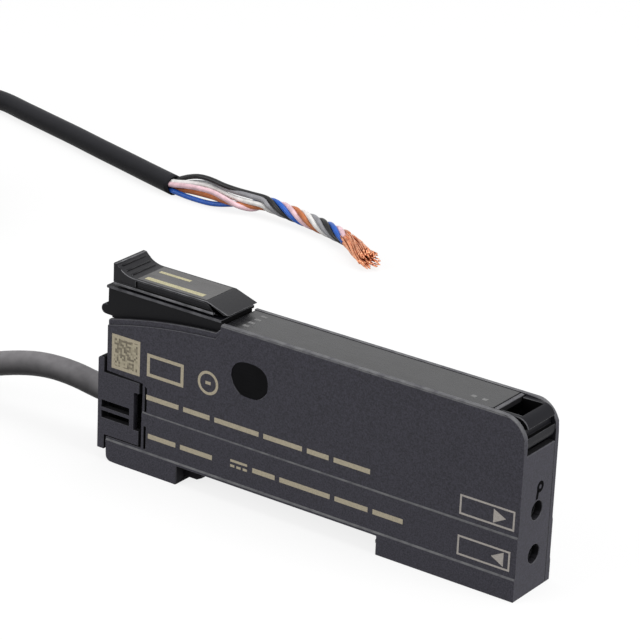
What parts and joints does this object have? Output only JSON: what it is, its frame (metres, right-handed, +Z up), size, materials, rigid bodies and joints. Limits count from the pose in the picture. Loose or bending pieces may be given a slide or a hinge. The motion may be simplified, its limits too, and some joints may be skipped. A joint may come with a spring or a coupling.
{
  "type": "fibre optic sensor amplifier",
  "caption": "Slim rail-mount fibre optic sensor amplifier with hinged key lid, display panel, fibre lock lever and ports, sprung rail hook and a coiled lead with stripped cores.",
  "frame": {"origin": "middle of the base, on the plane of the feet", "axes": "+X towards the fibre ports, +Y towards the side cover, +Z up"},
  "size_m": [0.2264, 0.1225, 0.0329],
  "materials": {
    "case_plastic": "fine grained moulding",
    "lid_plastic": "satin moulding",
    "deck_plastic": "gloss black moulding",
    "key_plastic": "satin moulding",
    "panel_plastic": "smooth smoked panel",
    "window_plastic": "gloss infrared window",
    "lever_plastic": "satin moulding",
    "block_plastic": "plain moulding",
    "red_display": "tinted display face",
    "green_display": "tinted display face",
    "board": "lacquered laminate",
    "chip": "moulded package",
    "emitter": "clear package",
    "receiver": "dark package",
    "can": "drawn can",
    "steel": "bright steel",
    "bush_rubber": "soft rubber",
    "jacket": "smooth sheath",
    "tie": "soft tie",
    "brown": "core insulation",
    "blue": "core insulation",
    "black": "core insulation",
    "white": "core insulation",
    "grey": "core insulation",
    "pink": "core insulation",
    "copper": "bare strands"
  },
  "bodies": {
    "case": {"case_shell": "case_plastic", "side_cover": "case_plastic", "end_cap": "case_plastic", "key_deck": "deck_plastic", "display_window": "panel_plastic", "comm_window_near": "window_plastic", "comm_window_far": "window_plastic", "fibre_block": "block_plastic", "digit_display_red": "red_display", "digit_display_green": "green_display", "top_board": "board", "main_board": "board", "controller_chip": "chip", "supply_regulator": "chip", "output_transistors": "chip", "comm_optics": "chip", "key_switches": "chip", "emitter_led": "emitter", "receiver_photodiode": "receiver", "smoothing_capacitor": "can", "lid_hinge_pin": "steel", "clamp_spring": "steel", "hook_spring": "steel", "cable_bush": "bush_rubber", "cable_lead": "jacket", "cable_coil": "jacket", "cable_tail": "jacket", "coil_tie": "tie", "core_brown": "brown", "core_blue": "blue", "core_black": "black", "core_white": "white", "core_grey": "grey", "core_pink": "pink", "copper_ends": "copper"},
    "key_lid": {"key_lid": "lid_plastic"},
    "mode_key": {"mode_key": "key_plastic"},
    "up_key": {"up_key": "key_plastic"},
    "down_key": {"down_key": "key_plastic"},
    "set_key": {"set_key": "key_plastic"},
    "fibre_clamp": {"fibre_clamp": "steel"},
    "fibre_lock_lever": {"fibre_lock_lever": "lever_plastic"},
    "rail_hook": {"rail_hook": "lever_plastic"}
  },
  "joints": [
    {"name": "lid_hinge", "type": "hinge", "parent": "case", "child": "key_lid", "pos_m": [-0.0365, 0, 0.0302], "axis": [0, -1, 0], "range_deg": [0, 95]},
    {"name": "mode_key_press", "type": "slide", "parent": "case", "child": "mode_key", "axis": [0, 0, -1], "range_m": [0, 0.0004], "stiffness_N_per_m": 2000},
    {"name": "up_key_press", "type": "slide", "parent": "case", "child": "up_key", "axis": [0, 0, -1], "range_m": [0, 0.0004], "stiffness_N_per_m": 2000},
    {"name": "down_key_press", "type": "slide", "parent": "case", "child": "down_key", "axis": [0, 0, -1], "range_m": [0, 0.0004], "stiffness_N_per_m": 2000},
    {"name": "set_key_press", "type": "slide", "parent": "case", "child": "set_key", "axis": [0, 0, -1], "range_m": [0, 0.0004], "stiffness_N_per_m": 2000},
    {"name": "lever_hinge", "type": "hinge", "parent": "case", "child": "fibre_lock_lever", "pos_m": [0.0371, 0, 0.02465], "axis": [0, 1, 0], "range_deg": [0, 75]},
    {"name": "clamp_lift", "type": "slide", "parent": "case", "child": "fibre_clamp", "axis": [0, 0, 1], "range_m": [0, 0.0008], "stiffness_N_per_m": 20000, "deforming": ["clamp_spring"]},
    {"name": "hook_slide", "type": "slide", "parent": "case", "child": "rail_hook", "axis": [-1, 0, 0], "range_m": [0, 0.0016], "stiffness_N_per_m": 2000, "deforming": ["hook_spring"]}
  ],
  "couplings": [
    {"joint": "lever_hinge", "follows": "clamp_lift", "rad_per_m": 1600}
  ]
}
